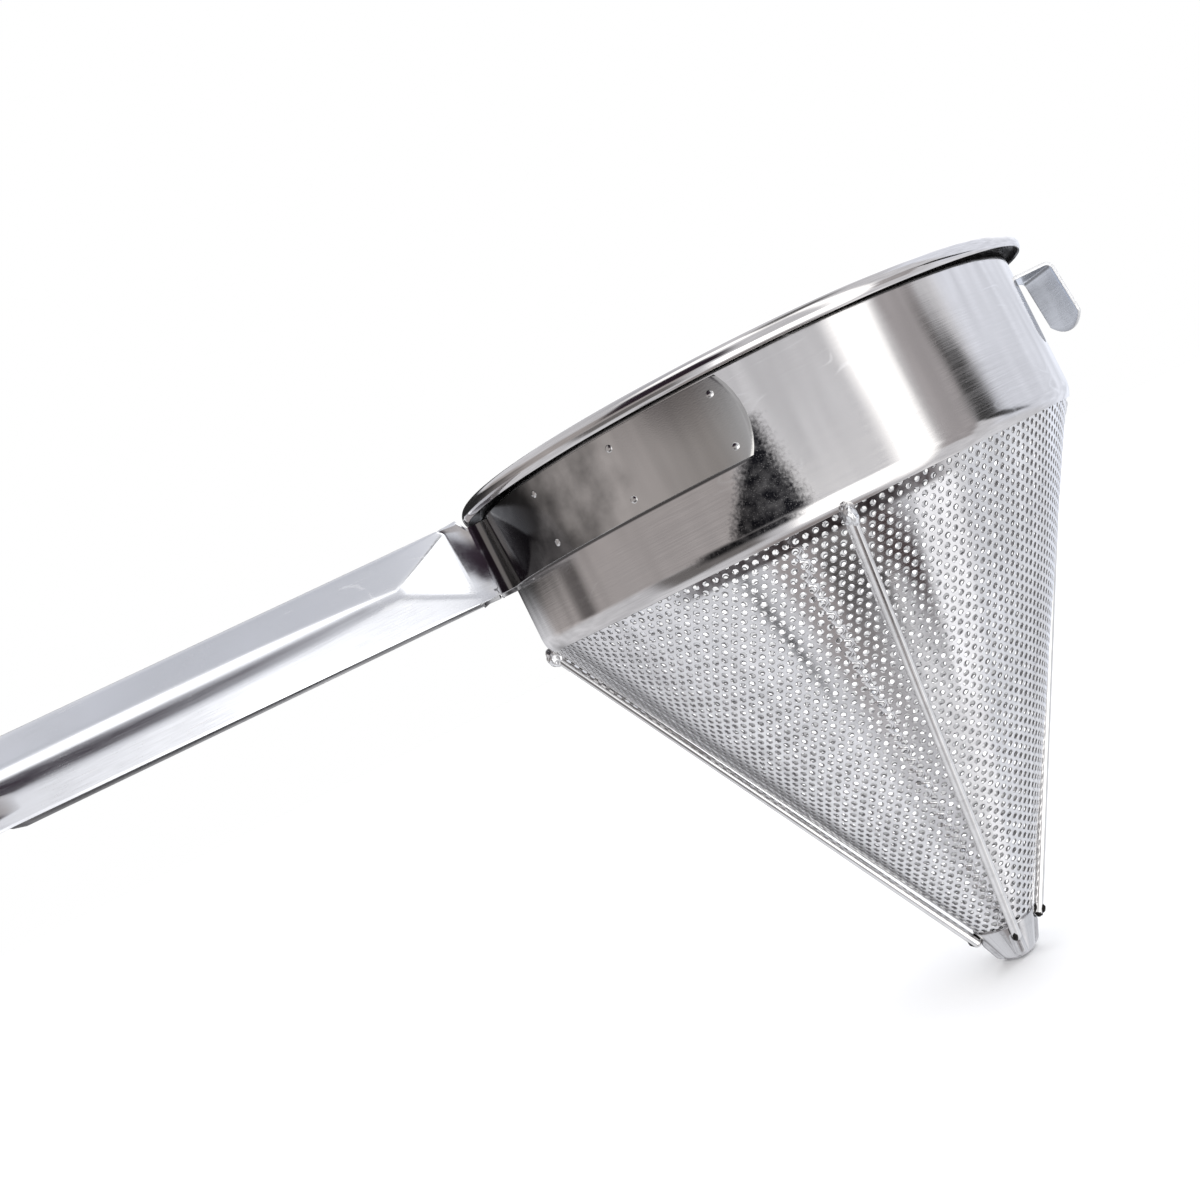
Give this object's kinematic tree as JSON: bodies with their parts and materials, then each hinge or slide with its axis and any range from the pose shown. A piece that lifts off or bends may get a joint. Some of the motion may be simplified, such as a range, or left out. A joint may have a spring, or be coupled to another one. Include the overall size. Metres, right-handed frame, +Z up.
{
  "type": "chinois strainer",
  "caption": "Conical perforated strainer with a deep rolled-rim collar, wire ribs down the cone, a folded channel handle and a bent rest hook.",
  "frame": {"origin": "on the cone's axis, in the plane where the collar's straight wall ends and its rim starts to roll outwards", "axes": "+Z up through the mouth, so the cone's tip points to -Z; +X towards the rest hook, so the handle points to -X; +Y away from the side seen in the picture"},
  "size_m": [0.4938, 0.255, 0.2659],
  "materials": {
    "polished_sheet": "polished stainless sheet with fine scratches and smudges",
    "perforated_sheet": "bright perforated stainless sheet",
    "cap_sheet": "pressed stainless sheet, bright",
    "rib_wire": "bright drawn wire",
    "handle_sheet": "polished folded stainless sheet",
    "hook_sheet": "satin stainless strip",
    "weld_metal": "dull weld metal with burnt marks"
  },
  "bodies": {
    "root": {"collar_band": "polished_sheet", "perforated_cone": "perforated_sheet", "cone_seam_weld": "weld_metal", "tip_cap": "cap_sheet", "front_rib": "rib_wire", "right_rib": "rib_wire", "rear_rib": "rib_wire", "left_rib": "rib_wire", "rib_top_welds": "weld_metal", "rib_tip_welds": "weld_metal", "handle": "handle_sheet", "handle_spot_welds": "weld_metal", "rest_hook": "hook_sheet", "hook_spot_welds": "weld_metal"}
  },
  "joints": []
}
